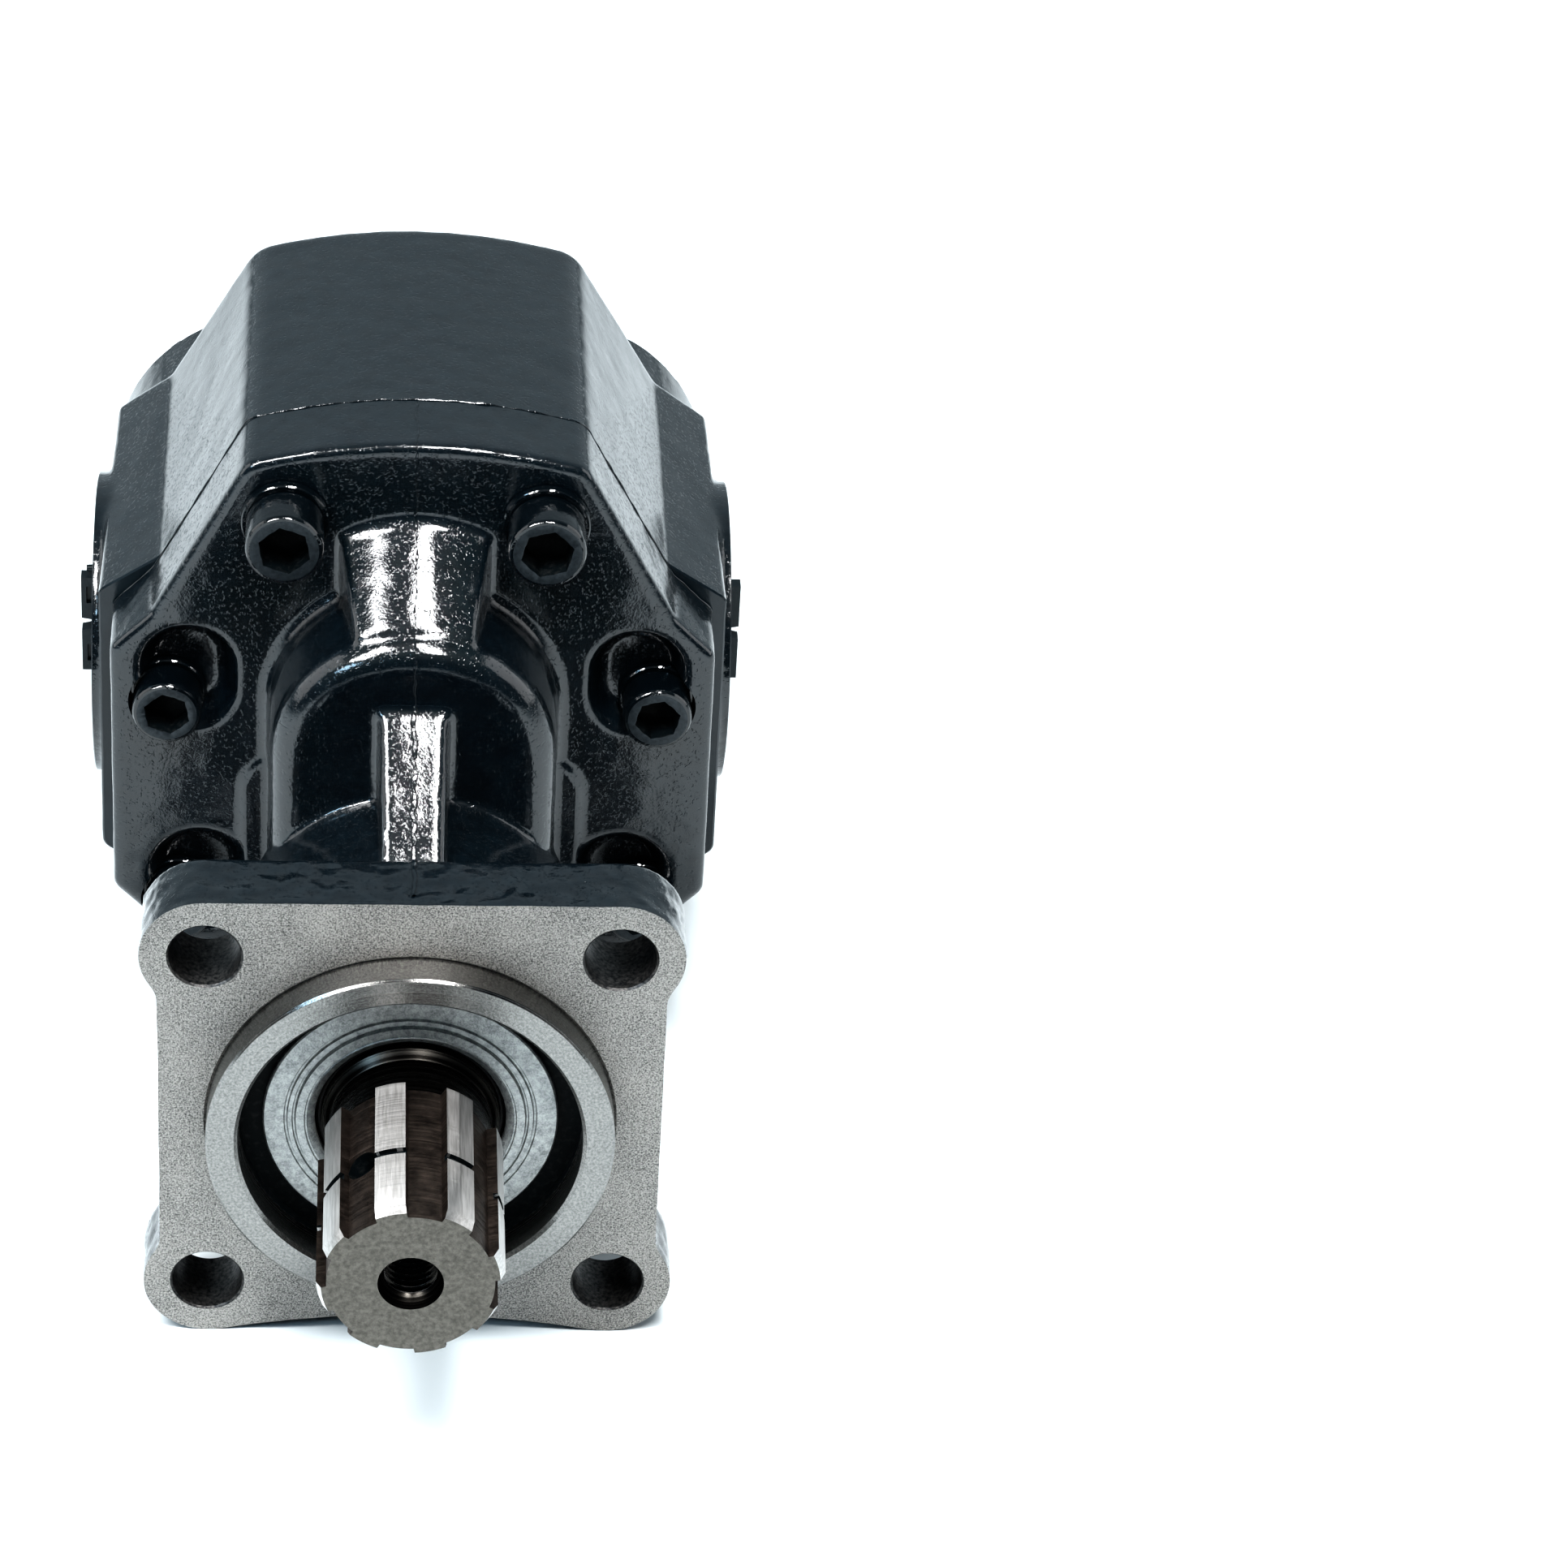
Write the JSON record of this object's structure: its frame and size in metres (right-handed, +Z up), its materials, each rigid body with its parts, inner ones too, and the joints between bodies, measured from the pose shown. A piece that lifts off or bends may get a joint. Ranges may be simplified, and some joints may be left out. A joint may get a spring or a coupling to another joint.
{
  "type": "hydraulic gear pump",
  "caption": "External gear pump with a four-bolt flange, a splined drive shaft and side ports, driven by a power take-off to feed a truck's hydraulics.",
  "frame": {"origin": "bottom centre of the pump's bounding box, on the surface that the flange and the castings rest on", "axes": "+Z up, +Y from the splined shaft end towards the rear pad, +X to the right seen from the shaft end"},
  "size_m": [0.141, 0.2714, 0.154],
  "materials": {
    "black_casting": "glossy black paint over a rough casting",
    "shaft_steel": "hardened and ground steel",
    "gear_steel": "ground steel",
    "bearing_bronze": "bronze-lined bush",
    "plate_aluminium": "machined",
    "seal_rubber": "matt black nitrile rubber",
    "spring_steel": "plain spring steel",
    "zinc_plate": "bright zinc plate",
    "black_screw": "glossy black paint over steel",
    "plug_plastic": "moulded black plastic"
  },
  "bodies": {
    "housing": {"cover_screw_bottom_left": "black_screw", "cover_screw_bottom_right": "black_screw", "cover_screw_lower_left": "black_screw", "cover_screw_lower_right": "black_screw", "cover_screw_top_left": "black_screw", "cover_screw_top_right": "black_screw", "cover_screw_upper_left": "black_screw", "cover_screw_upper_right": "black_screw", "cover_washer_bottom_left": "black_screw", "cover_washer_bottom_right": "black_screw", "cover_washer_lower_left": "black_screw", "cover_washer_lower_right": "black_screw", "cover_washer_top_left": "black_screw", "cover_washer_top_right": "black_screw", "cover_washer_upper_left": "black_screw", "cover_washer_upper_right": "black_screw", "dowel_pin_left": "gear_steel", "dowel_pin_right": "gear_steel", "drive_front_bush": "bearing_bronze", "drive_rear_bush": "bearing_bronze", "driven_front_bush": "bearing_bronze", "driven_rear_bush": "bearing_bronze", "front_cover": "black_casting", "front_plate_seal": "seal_rubber", "front_thrust_plate": "plate_aluminium", "gear_housing": "black_casting", "housing_seal": "seal_rubber", "port_plug_left": "plug_plastic", "port_plug_right": "plug_plastic", "rear_plate_seal": "seal_rubber", "rear_thrust_plate": "plate_aluminium", "seal_circlip": "spring_steel", "seal_retainer": "zinc_plate", "seal_spring_inner": "spring_steel", "seal_spring_outer": "spring_steel", "shaft_seal_inner": "seal_rubber", "shaft_seal_outer": "seal_rubber"},
    "drive_shaft": {"drive_shaft": "shaft_steel"},
    "driven_gear": {"driven_gear": "gear_steel"}
  },
  "joints": [
    {"name": "drive_shaft_spin", "type": "hinge", "parent": "housing", "child": "drive_shaft", "pos_m": [0, 0, 0.0527], "axis": [0, 1, 0], "continuous": true},
    {"name": "driven_gear_spin", "type": "hinge", "parent": "housing", "child": "driven_gear", "pos_m": [0, 0, 0.0977], "axis": [0, 1, 0], "continuous": true}
  ],
  "couplings": [
    {"joint": "driven_gear_spin", "follows": "drive_shaft_spin", "ratio": -1}
  ]
}
